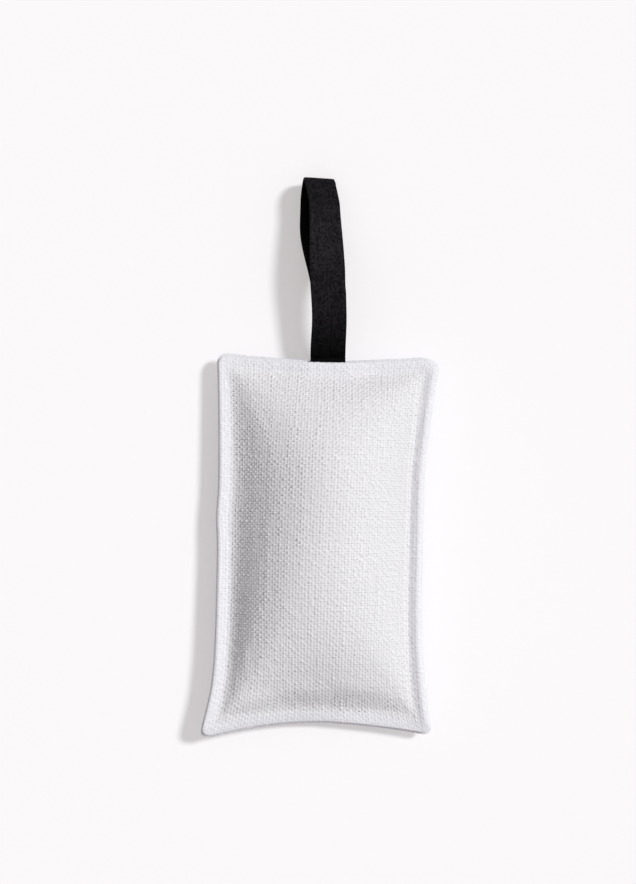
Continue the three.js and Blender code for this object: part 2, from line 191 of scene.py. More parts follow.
def make_piece(name, points, faces, material, threads=None):
    """A smooth-shaded mesh from points in millimetres, with a UV map if thread counts are given."""
    mesh = bpy.data.meshes.new(name)
    mesh.from_pydata((np.asarray(points) * MM).tolist(), [], faces)
    mesh.polygons.foreach_set("use_smooth", np.ones(len(mesh.polygons), bool))
    if threads is not None:
        corners = np.empty(len(mesh.loops), np.int32)
        mesh.loops.foreach_get("vertex_index", corners)
        layer = mesh.uv_layers.new(name="threads")
        layer.data.foreach_set("uv", np.asarray(threads, np.float32)[corners].ravel())
    mesh.materials.append(material)
    mesh.update()
    piece = bpy.data.objects.new(name, mesh)
    bpy.context.scene.collection.objects.link(piece)
    return piece


def unit(vectors):
    return vectors / np.maximum(np.linalg.norm(vectors, axis=-1, keepdims=True), 1e-9)


def normals_of(points):
    """Unit normals of a grid of points, to the left of its columns as its rows go up."""
    return unit(np.cross(np.gradient(points, axis=1), np.gradient(points, axis=0)))


def arc_lengths(line):
    """Length of a line up to each of its points."""
    return np.concatenate([[0], np.cumsum(np.linalg.norm(np.diff(line, axis=0), axis=1))])


def smooth_noise(random, count, length, reach):
    """One line of smooth random numbers for each thread, with a spread of about 1."""
    span = np.arange(-3 * reach, 3 * reach + 1)
    kernel = np.exp(-0.5 * (span / reach) ** 2)
    kernel /= np.sqrt((kernel ** 2).sum())
    rough = random.standard_normal((count, length + len(span) - 1))
    return np.array([np.convolve(line, kernel, mode="valid") for line in rough])


# Shape of the pouch

def near_corner(across, along, start):
    """From 0 where a corner starts, in shares of the half width and half length, to 1 at its tip."""
    return smoothstep(start[0], 1, across) * smoothstep(start[1], 1, along)


def drawn_in(x, y):
    """The plan as it lies: sides and ends pulled in by the filling, and a little askew."""
    across = x / HALF_WIDTH
    along = y / HALF_LENGTH
    upwards = (1 + along) / 2
    flare = np.where(along > 0, TOP_FLARE * along ** 2, BOTTOM_FLARE * along ** 4)
    for side, place, reach, swell in SIDE_SWELLS:
        at_side = smoothstep(SIDE_SWELL_FROM, 1, side * across)
        flare = flare + swell * at_side * np.exp(-((y - place) / reach) ** 2)
    bottom_arch = lerp(BOTTOM_ARCH, BOTTOM_LEFT_ARCH, smoothstep(ARCH_CHANGE, -ARCH_CHANGE, across))
    arch = 1 - np.abs(across) ** lerp(bottom_arch, TOP_ARCH, upwards)
    end_draw = lerp(BOTTOM_DRAW_IN, TOP_DRAW_IN, upwards) * arch
    sideways = SKEW * along + SIDEWAYS_BOW * along ** 2
    pulled = np.where(across < 0, *CORNER_PULL) * near_corner(np.abs(across), along, CORNER_PULL_FROM)
    pulled = pulled + CORNER_ROUND * near_corner(across, along, CORNER_ROUND_FROM)
    return (
        across * (HALF_WIDTH + flare) + sideways,
        along * (HALF_LENGTH - end_draw - KEYSTONE * across) - pulled,
    )


def ring_corner(inset):
    """Radius of the corners of the line at an inset, and where along X and Y they start."""
    corner = CORNER_RADIUS + CORNER_SPREAD * inset
    return corner, HALF_WIDTH - inset - corner, HALF_LENGTH - inset - corner


def past_core(x, y, core_x, core_y, reach):
    """How far places in square corners lie past a core, along X and Y, with the corners eased round."""
    over_x = clamp01((np.abs(x) - core_x) / reach)
    over_y = clamp01((np.abs(y) - core_y) / reach)
    return reach * over_x * np.sqrt(1 - over_y ** 2 / 2), reach * over_y * np.sqrt(1 - over_x ** 2 / 2)


def plan_lines(inset, columns, rows):
    """Evenly spaced places across and along the plan, up to the line at an inset."""
    half_x = HALF_WIDTH - inset
    half_y = HALF_LENGTH - inset
    return np.linspace(-half_x, half_x, columns + 1), np.linspace(-half_y, half_y, rows + 1)


def plan_grid(inset, columns, rows):
    """A grid of places in the plan, up to the line at an inset, with its square corners eased round."""
    x, y = np.meshgrid(*plan_lines(inset, columns, rows))
    corner, core_x, core_y = ring_corner(inset)
    round_x, round_y = past_core(x, y, core_x, core_y, corner)
    return (
        np.sign(x) * (np.minimum(np.abs(x), core_x) + round_x),
        np.sign(y) * (np.minimum(np.abs(y), core_y) + round_y),
    )


def ring_inset(x, y):
    """How far a place in the plan lies inside the edge, on rings whose corners grow rounder inwards."""
    inset = np.minimum(HALF_WIDTH - np.abs(x), HALF_LENGTH - np.abs(y))
    for _ in range(RING_ROUNDS):
        half_x = HALF_WIDTH - inset
        half_y = HALF_LENGTH - inset
        radius = np.minimum(CORNER_RADIUS + CORNER_SPREAD * inset, MOST_CORNER * half_x)
        over_x = np.abs(x) - half_x + radius
        over_y = np.abs(y) - half_y + radius
        outside = np.hypot(np.maximum(over_x, 0), np.maximum(over_y, 0))
        inside = np.minimum(np.maximum(over_x, over_y), 0)
        inset = inset - (outside + inside - radius)
    return np.maximum(inset, 0)


def side_shares(x, y):
    """How much a place belongs to the left, right, bottom and top edge."""
    to_side = HALF_WIDTH - np.abs(x)
    at_bottom = smoothstep(-SIDE_BLEND, SIDE_BLEND, to_side - HALF_LENGTH - y)
    at_top = smoothstep(-SIDE_BLEND, SIDE_BLEND, to_side - HALF_LENGTH + y)
    at_side = (1 - at_bottom) * (1 - at_top)
    at_right = smoothstep(-SIDE_BLEND, SIDE_BLEND, x)
    return at_side * (1 - at_right), at_side * at_right, at_bottom, at_top


def by_side(x, y, values):
    return sum(share * value for share, value in zip(side_shares(x, y), values))


def soft_start(distance, reach, valley):
    """From 0 to 1 over a reach, without a crease where it starts."""
    eased = np.hypot(np.clip(distance, 0, reach), valley) - valley
    return eased / (np.hypot(reach, valley) - valley)


def crown(x, y):
    """Share of its full height that the crowned cloth has, from 0 at the topstitch."""
    half = HALF_WIDTH - EDGE_WIDTH
    shifted = x - CROWN_SHIFT * clamp01(1 - (x / half) ** 2)
    on_left = shifted < 0
    at_bottom = y < 0
    upwards = smoothstep(-SIDE_CHANGE, SIDE_CHANGE, y)
    rightwards = smoothstep(0, half, x)

    side_fullness = np.where(on_left, lerp(*LEFT_FULLNESS, upwards), RIGHT_FULLNESS)
    side_valley = np.where(on_left, lerp(VALLEY[0], LEFT_VALLEY_TOP, upwards), VALLEY[1])
    left_start = LEFT_TOP_START * clamp01(y / HALF_LENGTH) ** 2
    to_side = half - np.abs(shifted) + np.where(on_left, left_start, 0)
    across = 1 - (1 - soft_start(to_side, half, side_valley)) ** side_fullness

    end_valley = np.where(at_bottom, VALLEY[2], VALLEY[3])
    slope = np.where(at_bottom, BOTTOM_SLOPE, TOP_SLOPE) * (1 + RIGHT_EASE * rightwards)
    end_gap = np.where(at_bottom, BOTTOM_GAP * smoothstep(0, BOTTOM_GAP_REACH, x), 0)
    to_end = HALF_LENGTH - EDGE_WIDTH - np.abs(y) - end_gap
    along = 1 - (1 - soft_start(to_end, slope, end_valley)) ** END_FULLNESS

    across, along = np.maximum(across, 1e-6), np.maximum(along, 1e-6)
    hip = lerp(lerp(BOTTOM_HIP, HIP, upwards), RIGHT_HIP, rightwards)
    return (across ** -hip + along ** -hip - 1) ** (-1 / hip)


def puckers(x, y):
    """Small swells of the cloth over the bottom edge."""
    total = 0
    for place_x, place_y in PUCKERS:
        across = (x - place_x) / PUCKER_REACH[0]
        along = (y - place_y) / PUCKER_REACH[1]
        total = total + np.exp(-across ** 2 - along ** 2)
    return PUCKER_RISE * total


def seam_height(x, y):
    """Height of the seam over the table: the bottom edge hangs down, and the left one is wound."""
    left = smoothstep(LEFT_FROM, -HALF_WIDTH, x)
    droop = DROOP * (1 - left) * clamp01((DROOP_REACH - HALF_LENGTH - y) / DROOP_REACH) ** 2
    return SEAM_Z - droop - LEFT_WIND * left * y / HALF_LENGTH


def pocket(inset, x, y):
    """Room for the caught ends of the tape."""
    beside = 1 - smoothstep(POCKET_HALF - POCKET_RAMP / 2, POCKET_HALF + 3 * POCKET_RAMP, np.abs(x))
    behind = 1 - smoothstep(EDGE_WIDTH, POCKET_REACH + POCKET_FADE, inset)
    return np.where(y > 0, POCKET_RISE * beside * behind, 0)


def edge_height(inset, x, y):
    """Height of the rolled edge and its groove over the seam."""
    reach = by_side(x, y, EDGE_ROUND)
    rounding = np.sqrt(np.maximum(1 - (1 - clamp01(inset / reach)) ** 2, 0))
    roll = by_side(x, y, ROLL) * lerp(1, ROLL_AT_CORNER, np.abs(y / HALF_LENGTH) ** 3)
    crest = GROOVE_HEIGHT + roll * (1 - smoothstep(reach / 2, by_side(x, y, ROLL_REACH), inset))
    return FOLD_HEIGHT + (crest - FOLD_HEIGHT) * rounding


def edge_lift(inset, x, y):
    """How far the edge curls up, or down where this is negative."""
    curl = (1 - clamp01(inset / LIFT_REACH)) ** LIFT_CURL
    return by_side(x, y, EDGE_LIFT) * smoothstep(*LIFT_SPAN, x) * curl


def spread(x, y, face):
    """The back panel lies a little further out than the front one."""
    if face > 0:
        return x, y
    return x * (1 + BACK_SPREAD_X / HALF_WIDTH), y * (1 + BACK_SPREAD_Y / HALF_LENGTH)


def floor_stop(z):
    """The table stops the cloth softly."""
    over = z - FLOOR_CLEAR
    return FLOOR_CLEAR + (over + np.hypot(over, FLOOR_SOFTNESS)) / 2


def lifted(x, y, inset, height, face):
    """Points at a height over the seam: above it for the front, where the face is 1, and below it for
    the back, where it is -1."""
    z = seam_height(x, y) + edge_lift(inset, x, y) + face * height
    return np.stack([*drawn_in(*spread(x, y, face)), z], axis=-1)


def fold_turn(past):
    """Angle through which the cloth has turned under at a length past the edge."""
    return np.minimum(past / FOLD_ARC, 1) * math.pi / 2


def panel_plan(p, q):
    """Place in the plan of a point on the cut cloth. Its square corners are eased round, and what lies
    past the edge turns under. Also gives how far past the edge it is, and how far back under."""
    _, core_x, core_y = ring_corner(0)
    round_x, round_y = past_core(p, q, core_x, core_y, CORNER_RADIUS + WRAP)
    out = np.hypot(round_x, round_y)
    past = np.maximum(out - CORNER_RADIUS, 0)
    under = FOLD_DEPTH * (1 - np.cos(fold_turn(past))) + np.maximum(past - FOLD_ARC, 0)
    kept = (np.minimum(out, CORNER_RADIUS) - under) / np.maximum(out, 1e-9)
    x = np.sign(p) * (np.minimum(np.abs(p), core_x) + kept * round_x)
    y = np.sign(q) * (np.minimum(np.abs(q), core_y) + kept * round_y)
    return x, y, past, under


def panel_points(p, q, face, waves):
    """Points of one panel's outside, for places on its cut."""
    x, y, past, under = panel_plan(p, q)
    inset = np.where(past > 0, under, ring_inset(x, y))
    top = edge_height(inset, x, y) + BULGE * crown(x, y) + puckers(x, y)
    fold = FOLD_HEIGHT - (FOLD_HEIGHT - HEM_HEIGHT) * np.sin(fold_turn(past))
    height = np.where(past > 0, fold, top) + pocket(inset, x, y)
    points = lifted(x, y, inset, height, face) + waves(x, y)
    if face < 0:
        points[..., 2] = floor_stop(points[..., 2])
    return points


def no_waves(x, y):
    return np.zeros(x.shape + (3,))


# Cloth simulation of the filled pouch, from topstitch to topstitch

SIM_COLUMNS = 28
SIM_ROWS = 52
SIM_SCALE = 6  # the cloth solver works best on things about a metre long
SIM_START = 0.97  # share of the crown's height that the cloth starts from
SIM_FRAMES = 20
SIM_SETTINGS = {
    "quality": 6,
    "tension_stiffness": 25,
    "compression_stiffness": 25,
    "shear_stiffness": 10,
    "bending_stiffness": 10,
    "use_pressure": True,
    "uniform_pressure_force": 28,
    "vertex_group_mass": "seam",
}
MOST_WAVE = 0.5
WAVE_FADE = 12
SWELL = 4  # grid lines over which a movement counts as broad


def settled(points, faces, seam_points):
    """Where the points end up when their mesh is filled as cloth under pressure, held at the seam."""
    scene = bpy.context.scene
    mesh = bpy.data.meshes.new("filled_pouch")
    mesh.from_pydata((points * MM * SIM_SCALE).tolist(), [], faces)
    pouch = bpy.data.objects.new("filled_pouch", mesh)
    scene.collection.objects.link(pouch)
    pouch.vertex_groups.new(name="seam").add(seam_points, 1.0, "REPLACE")
    cloth = pouch.modifiers.new("cloth", "CLOTH")
    for name, value in SIM_SETTINGS.items():
        setattr(cloth.settings, name, value)
    cloth.settings.effector_weights.gravity = 0
    cloth.collision_settings.use_collision = False
    cloth.point_cache.frame_end = SIM_FRAMES
    for number in range(1, SIM_FRAMES + 1):
        scene.frame_set(number)
    shown = pouch.evaluated_get(bpy.context.evaluated_depsgraph_get())
    filled = np.empty(3 * len(points))
    shown.data.vertices.foreach_get("co", filled)
    scene.frame_set(1)
    bpy.data.objects.remove(pouch)
    bpy.data.meshes.remove(mesh)
    return filled.reshape(-1, 3) / (MM * SIM_SCALE)


def simulated_pouch():
    """Movement of the front and the back cloth from the full crown when the pouch is filled."""
    x, y = plan_grid(EDGE_WIDTH, SIM_COLUMNS, SIM_ROWS)
    front = np.stack([*drawn_in(x, y), SIM_START * BULGE * crown(x, y)], axis=-1)
    back = front * (1, 1, -1)
    rows, columns = x.shape
    border = np.ones((rows, columns), bool)
    border[1:-1, 1:-1] = False
    index = np.arange(rows * columns).reshape(rows, columns)
    back_index = index.copy()
    back_index[~border] = rows * columns + np.arange((~border).sum())
    points = np.concatenate([front.reshape(-1, 3), back[~border]])
    faces = np.array(grid_faces(rows, columns))
    back_faces = back_index.ravel()[faces[:, ::-1]]
    filled = settled(points, faces.tolist() + back_faces.tolist(), index[border].tolist())
    moved = filled - points * (1, 1, 1 / SIM_START)
    return fine_waves(moved[index]), fine_waves(moved[back_index])


def fine_waves(moved):
    """The folds and dimples of a movement without its broad swell, and none deeper than the cap."""
    span = np.arange(-2 * SWELL, 2 * SWELL + 1)
    kernel = np.exp(-0.5 * (span / SWELL) ** 2)
    kernel /= kernel.sum()
    broad = np.pad(moved, ((2 * SWELL, 2 * SWELL), (2 * SWELL, 2 * SWELL), (0, 0)), mode="edge")
    broad = np.apply_along_axis(np.convolve, 0, broad, kernel, "valid")
    broad = np.apply_along_axis(np.convolve, 1, broad, kernel, "valid")
    fine = moved - broad
    far = np.linalg.norm(fine, axis=-1, keepdims=True) / MOST_WAVE
    return fine * np.tanh(far) / np.maximum(far, 1e-9)


def cubic_weights(t):
    """Weights of the four nearest grid lines, for a smooth curve through all of them."""
    return np.stack([
        -0.5 * t + t ** 2 - 0.5 * t ** 3,
        1 - 2.5 * t ** 2 + 1.5 * t ** 3,
        0.5 * t + 2 * t ** 2 - 1.5 * t ** 3,
        -0.5 * t ** 2 + 0.5 * t ** 3,
    ])


def waves_from(moved):
    """The simulated movement as a smooth function of the plan, still at and outside the topstitch."""
    place_x, place_y = plan_lines(EDGE_WIDTH, SIM_COLUMNS, SIM_ROWS)

    def waves(x, y):
        column = np.clip((x - place_x[0]) / (place_x[1] - place_x[0]), 0, SIM_COLUMNS - 1e-6)
        row = np.clip((y - place_y[0]) / (place_y[1] - place_y[0]), 0, SIM_ROWS - 1e-6)
        left, low = column.astype(int), row.astype(int)
        weight_x, weight_y = cubic_weights(column - left), cubic_weights(row - low)
        total = np.zeros(x.shape + (3,))
        for i in range(4):
            for j in range(4):
                near = moved[np.clip(low + j - 1, 0, SIM_ROWS), np.clip(left + i - 1, 0, SIM_COLUMNS)]
                total += (weight_x[i] * weight_y[j])[..., None] * near
        inside = smoothstep(EDGE_WIDTH, EDGE_WIDTH + WAVE_FADE, ring_inset(x, y))
        return total * inside[..., None]

    return waves


# Woven cloth

WARP_SAMPLES = 3  # columns of the mesh to a warp thread
WEFT_SAMPLES = 2  # rows of the mesh to a weft thread
WARP_RISE = 0.5  # of a warp thread where it lies on top
WEFT_RISE = 0.03  # of a weft thread where it does
GAP_RISE = 0.06  # between two threads
HOLE_DEPTH = 0.14  # between four threads
UNEVENNESS = 0.26  # of single crossings and holes
MOST_UNEVEN = 1.8
SIZE_SPREAD = 0.2  # how much the thickness of a thread varies
WARP_SIZE_REACH = 10  # mesh lines over which it does
WEFT_SIZE_REACH = 12
THREAD_WANDER = 0.07  # how far a thread strays sideways
WARP_WANDER_REACH = 14  # mesh lines over which it does
WEFT_WANDER_REACH = 16
WANDER_FADE = 3  # length from the edge over which the straying starts
STRETCH_FADE = (EDGE_WIDTH - 0.5, EDGE_WIDTH + 2)  # insets between which the pulled edge ends
RIM_RELIEF = 0.25  # share of the relief left on the outermost line of the edge
RIM_FADE = (0.2, 2.2)  # insets between which the relief grows from there
TURN_FADE = (0.6, 1.4)  # lengths past the edge between which it ends
FLOOR_PRESS = 0.7  # share of the relief that the table presses flat
PRESS_FADE = (1, 5)  # heights between which this ends
INNER_FROM = 3.6  # inset where the inside of the cloth starts
INNER_COLUMN_STEP = 6
INNER_ROW_STEP = 4
CUT_STEPS = 4000


def cut_places(count, face, lengthwise):
    """Places on the cut of evenly spaced lines: where the cloth lies flat, and on the crown."""
    half = HALF_LENGTH if lengthwise else HALF_WIDTH
    place = np.linspace(-half, half, CUT_STEPS)
    zero = np.zeros_like(place)
    line = panel_points(*((zero, place) if lengthwise else (place, zero)), face, no_waves)
    arc = arc_lengths(line)
    length = arc[-1]
    along = np.linspace(-WRAP, length + WRAP, count)
    past = np.minimum(along, 0) + np.maximum(along - length, 0)
    on_cloth = np.clip(along, 0, length)
    flat = on_cloth * 2 * half / length - half + past
    crowned = np.interp(on_cloth, arc, place) + past
    return flat, crowned


def cut_grid(columns, rows, face):
    """Places on the cut of a whole grid, evenly spaced over the crowned cloth."""
    flat_x, crowned_x = cut_places(columns, face, False)
    flat_y, crowned_y = cut_places(rows, face, True)
    row_share = crown(np.zeros(rows), np.clip(crowned_y, -HALF_LENGTH, HALF_LENGTH))
    column_share = crown(np.clip(crowned_x, -HALF_WIDTH, HALF_WIDTH), np.zeros(columns))
    p = lerp(flat_x[None, :], crowned_x[None, :], row_share[:, None])
    q = lerp(flat_y[:, None], crowned_y[:, None], column_share[None, :])
    return p, q


def between_threads(lines, samples, count):
    """Values given for the gaps between threads, spread over the mesh lines."""
    place = np.arange(count) / samples
    low = np.minimum(place.astype(int), len(lines) - 2)
    share = (place - low)[:, None]
    return lines[low] * (1 - share) + lines[low + 1] * share


def plain_weave(columns, rows, warp_samples, weft_samples, warp_rise, weft_rise, gap_rise, hole):
    """Relief of threads that cross over and under, with so many mesh lines to a thread."""
    column, row = np.arange(columns)[None, :], np.arange(rows)[:, None]
    on_warp, on_weft = column % warp_samples != 0, row % weft_samples != 0
    warp_over = (column // warp_samples + row // weft_samples) % 2 == 0
    relief = np.where(on_warp & on_weft, np.where(warp_over, warp_rise, weft_rise), gap_rise)
    return np.where(~on_warp & ~on_weft, -hole, relief)


def linen_relief(p, q, height, random):
    """How far the threads, gaps and holes stand over the smooth cloth, which lies at a height."""
    rows, columns = p.shape
    warp, weft = np.arange(columns) // WARP_SAMPLES, np.arange(rows) // WEFT_SAMPLES
    warp_size = 1 + SIZE_SPREAD * smooth_noise(random, WARPS + 1, rows, WARP_SIZE_REACH).T[:, warp]
    weft_size = 1 + SIZE_SPREAD * smooth_noise(random, WEFTS + 1, columns, WEFT_SIZE_REACH)[weft]
    relief = plain_weave(
        columns, rows, WARP_SAMPLES, WEFT_SAMPLES,
        WARP_RISE * warp_size, WEFT_RISE * weft_size, GAP_RISE, HOLE_DEPTH,
    )
    uneven = random.standard_normal((WEFTS + 1, WARPS + 1))[np.ix_(weft, warp)]
    relief = relief * np.exp(UNEVENNESS * np.clip(uneven, -MOST_UNEVEN, MOST_UNEVEN))
    x, y, past, _ = panel_plan(p, q)
    inset = np.where(past > 0, 0, ring_inset(x, y))
    stretched = by_side(x, y, EDGE_STRETCH) * (1 - smoothstep(*STRETCH_FADE, inset))
    pressed = FLOOR_PRESS * (1 - smoothstep(*PRESS_FADE, height))
    rimmed = lerp(RIM_RELIEF, 1, smoothstep(*RIM_FADE, inset))
    return relief * (1 - stretched) * (1 - pressed) * rimmed * (1 - smoothstep(*TURN_FADE, past))


def thread_wander(random, count, length, reach):
    """How far each thread strays along its length, by mesh lines."""
    return smooth_noise(random, count, length, reach) + random.standard_normal((count, 1))


def woven_panel(name, face, waves, material, random):
    """One linen panel: its woven outside, its turned-under edge and its smooth inside."""
    columns = WARPS * WARP_SAMPLES + 1
    rows = WEFTS * WEFT_SAMPLES + 1
    p, q = cut_grid(columns, rows, face)
    inside = smoothstep(0, WANDER_FADE, np.minimum(HALF_WIDTH - np.abs(p), HALF_LENGTH - np.abs(q)))
    warp_wander = thread_wander(random, WARPS + 1, rows, WARP_WANDER_REACH)
    weft_wander = thread_wander(random, WEFTS + 1, columns, WEFT_WANDER_REACH)
    p = p + inside * THREAD_WANDER * between_threads(warp_wander, WARP_SAMPLES, columns).T
    q = q + inside * THREAD_WANDER * between_threads(weft_wander, WEFT_SAMPLES, rows)
    smooth = panel_points(p, q, face, waves)
    relief = linen_relief(p, q, smooth[..., 2], random)
    outer = smooth + face * normals_of(smooth) * relief[..., None]
    warp_count, weft_count = np.arange(columns) / WARP_SAMPLES, np.arange(rows) / WEFT_SAMPLES
    threads = np.stack(np.meshgrid(warp_count, weft_count), axis=-1)

    inner_columns = (columns - 1) // INNER_COLUMN_STEP
    inner_rows = (rows - 1) // INNER_ROW_STEP
    inner_plan = np.meshgrid(*plan_lines(INNER_FROM, inner_columns, inner_rows))
    inner = panel_points(*inner_plan, face, waves)
    inner = inner - face * normals_of(inner) * LINEN
    inner_threads = threads[::INNER_ROW_STEP, ::INNER_COLUMN_STEP]

    first = rows * columns
    faces = grid_faces(rows, columns, flip=face < 0)
    faces += grid_faces(inner_rows + 1, inner_columns + 1, first, flip=face > 0)
    faces += bridge(rows, columns, INNER_ROW_STEP, INNER_COLUMN_STEP, first, face)
    points = np.concatenate([outer.reshape(-1, 3), inner.reshape(-1, 3)])
    counts = np.concatenate([threads.reshape(-1, 2), inner_threads.reshape(-1, 2)])
    return make_piece(name, points, faces, material, counts)


def rim(rows, columns, first):
    """Vertex numbers round the border of a grid, anticlockwise."""
    index = first + np.arange(rows * columns).reshape(rows, columns)
    return np.concatenate([index[0, :-1], index[:-1, -1], index[-1, :0:-1], index[:0:-1, 0]]).tolist()


def bridge(rows, columns, row_step, column_step, first, face):
    """Faces that join the border of a grid to that of one with fewer lines, by these steps."""
    inner_rows, inner_columns = (rows - 1) // row_step, (columns - 1) // column_step
    outer = rim(rows, columns, 0)
    inner = rim(inner_rows + 1, inner_columns + 1, first)
    faces = []
    start = 0
    for k, step in enumerate(([column_step] * inner_columns + [row_step] * inner_rows) * 2):
        run = [outer[(start + i) % len(outer)] for i in range(step + 1)]
        joined = [inner[k], inner[(k + 1) % len(inner)]] + run[::-1]
        faces.append(joined if face > 0 else joined[::-1])
        start += step
    return faces


# Materials

LINEN_COLOUR = (0.771, 0.770, 0.786)
EDGE_COLOUR = (0.771, 0.776, 0.806)
TAPE_COLOUR = (0.0134, 0.0121, 0.0140)
THREAD_COLOUR = (0.86, 0.855, 0.86)
MUSLIN_COLOUR = (0.82, 0.78, 0.70)
BUD_COLOURS = ((0.20, 0.19, 0.15, 1), (0.34, 0.30, 0.45, 1))
BUDS_PER_METRE = 330
EDGE_FADE = (WRAP + 1, WRAP + EDGE_WIDTH + 6)  # lengths from the cut where the doubled edge ends
EDGE_HOLES = -0.3  # by how much the painted shade in the holes changes on the doubled edge
TAPE_PICKS = 240  # weft threads of the tape, counted from its front tail
TAPE_PAINTED_SHADE = (  # painted shade, by weft thread: share of the tape's colour kept, low beside the seam, full up to the fold, low again on the rear leaf
    (14, 0.25),
    (42, 1),
    (83, 1),
    (103, 0.7),
    (119, 0.12),
)


def start_material(name):
    material = bpy.data.materials.new(name)
    material.use_nodes = True
    return material, material.node_tree, material.node_tree.nodes["Principled BSDF"]


def feed(tree, node, inputs):
    """Gives numbers, colours or sockets to the inputs of a node."""
    for name, value in inputs.items():
        if isinstance(value, bpy.types.NodeSocket):
            tree.links.new(value, node.inputs[name])
        else:
            node.inputs[name].default_value = value


def add_node(tree, kind, inputs, **settings):
    node = tree.nodes.new("ShaderNode" + kind)
    for name, value in settings.items():
        setattr(node, name, value)
    feed(tree, node, inputs)
    return node


def calc(tree, operation, *values):
    """A Math node on numbers or sockets."""
    return add_node(tree, "Math", dict(enumerate(values)), operation=operation).outputs[0]


def shaded(tree, shade, *shares):
    """A shade to which a share of each socket is added."""
    for socket, share in shares:
        shade = calc(tree, "MULTIPLY_ADD", socket, share, shade)
    return shade


def thread_counts(tree):
    """Thread numbers across and along the cloth, whole between two threads."""
    uv = add_node(tree, "UVMap", {}, uv_map="threads")
    split = add_node(tree, "SeparateXYZ", {0: uv.outputs[0]})
    return split.outputs[0], split.outputs[1]


def holes(tree, u, v, narrow_u, narrow_v):
    """1 between four threads and 0 on a thread, narrower for a higher power."""
    gaps = []
    for count, narrow in ((u, narrow_u), (v, narrow_v)):
        wave = calc(tree, "COSINE", calc(tree, "MULTIPLY", count, math.pi))
        gaps.append(calc(tree, "POWER", calc(tree, "ABSOLUTE", wave), narrow))
    return calc(tree, "MULTIPLY", *gaps)


def thread_tint(tree, u, v, seed_u, seed_v):
    """A random number for each warp thread plus one for each weft thread."""
    tints = []
    for count, seed in ((u, seed_u), (v, seed_v)):
        number = calc(tree, "ADD", calc(tree, "FLOOR", count), seed)
        noise = add_node(tree, "TexWhiteNoise", {"W": number}, noise_dimensions="1D")
        tints.append(noise.outputs["Value"])
    return calc(tree, "ADD", *tints)


def cell_tint(tree, u, v):
    """A random number for each cell between whole thread counts."""
    place = add_node(tree, "CombineXYZ", {0: calc(tree, "FLOOR", u), 1: calc(tree, "FLOOR", v)})
    noise = add_node(tree, "TexWhiteNoise", {"Vector": place.outputs[0]}, noise_dimensions="2D")
    return noise.outputs["Value"]


def thread_noise(tree, u, v, scale_u, scale_v, detail=2):
    """Noise stretched along one direction of the threads."""
    scaled = {0: calc(tree, "MULTIPLY", u, scale_u), 1: calc(tree, "MULTIPLY", v, scale_v)}
    place = add_node(tree, "CombineXYZ", scaled)
    noise = add_node(tree, "TexNoise", {"Scale": 1, "Detail": detail, "Vector": place.outputs[0]})
    return noise.outputs["Fac"]


def both_ways(tree, u, v, fine, coarse, detail=2):
    """Noise stretched along the warp plus noise stretched along the weft."""
    along = thread_noise(tree, u, v, fine, coarse, detail)
    across = thread_noise(tree, u, v, coarse, fine, detail)
    return calc(tree, "ADD", along, across)


def scaled_colour(tree, colour, factor):
    return add_node(tree, "VectorMath", {0: colour, "Scale": factor}, operation="SCALE").outputs[0]


def add_bump(tree, shader, height, strength, depth):
    """Relief in the material, of a depth in millimetres."""
    bump = add_node(tree, "Bump", {"Strength": strength, "Distance": depth * MM, "Height": height})
    feed(tree, shader, {"Normal": bump.outputs[0]})


def on_edge(tree, u, v):
    """1 on the doubled edge of the cloth, and 0 inside it."""
    lengths = []
    for count, threads, pitch in ((u, WARPS, WARP_PITCH), (v, WEFTS, WEFT_PITCH)):
        from_cut = calc(tree, "MINIMUM", count, calc(tree, "SUBTRACT", threads, count))
        lengths.append(calc(tree, "MULTIPLY", from_cut, pitch))
    limits = {"From Min": EDGE_FADE[0], "From Max": EDGE_FADE[1], "To Min": 1, "To Max": 0}
    inputs = {"Value": calc(tree, "MINIMUM", *lengths), **limits}
    return add_node(tree, "MapRange", inputs, interpolation_type="SMOOTHSTEP").outputs["Result"]


def linen_material():
    material, tree, shader = start_material("linen")
    u, v = thread_counts(tree)
    doubled = on_edge(tree, u, v)
    # holes lie at whole counts, so their cells are shifted by half a thread
    hole_size = cell_tint(tree, calc(tree, "ADD", u, 0.5), calc(tree, "ADD", v, 0.5))
    # painted shade in the holes between threads, where the relief sinks; less of it on the doubled edge
    hole = calc(tree, "MULTIPLY", holes(tree, u, v, narrow_u=4, narrow_v=3), hole_size)
    hole = calc(tree, "MULTIPLY", hole, shaded(tree, 1, (doubled, EDGE_HOLES)))
    tint = thread_tint(tree, u, v, seed_u=3, seed_v=41)
    slub = both_ways(tree, u, v, fine=1, coarse=0.05)
    crossing = cell_tint(tree, u, v)
    # the hole share below darkens the colour as painted shade
    shade = shaded(
        tree, 0.915, (hole, -0.6), (doubled, 0.035), (tint, 0.012), (slub, 0.03), (crossing, 0.09)
    )
    colour = add_node(tree, "MixRGB", {
        "Fac": doubled,
        "Color1": scaled_colour(tree, LINEN_COLOUR, shade),
        "Color2": scaled_colour(tree, EDGE_COLOUR, shade),
    })
    fibres = both_ways(tree, u, v, fine=7, coarse=2, detail=3)
    add_bump(tree, shader, fibres, strength=0.35, depth=0.12)
    feed(tree, shader, {
        "Base Color": colour.outputs["Color"],
        "Roughness": 0.9,
        "Specular IOR Level": 0.2,
        "Sheen Weight": 0.08,
        "Sheen Roughness": 0.6,
    })
    return material


def tape_painted_shade(tree, v):
    """Painted shade along the tape: darker beside the seam, where it rises away from the light, and on
    the rear leaf, in the front leaf's shade.
    """
    ramp = add_node(tree, "ValToRGB", {"Fac": calc(tree, "DIVIDE", v, TAPE_PICKS)})
    ramp.color_ramp.interpolation = "EASE"
    stops = ramp.color_ramp.elements  # two to begin with
    for number, (pick, value) in enumerate(TAPE_PAINTED_SHADE):
        stop = stops[number] if number < 2 else stops.new(pick / TAPE_PICKS)
        stop.position = pick / TAPE_PICKS
        stop.color = (value, value, value, 1)
    return add_node(tree, "SeparateColor", {0: ramp.outputs["Color"]}).outputs[0]


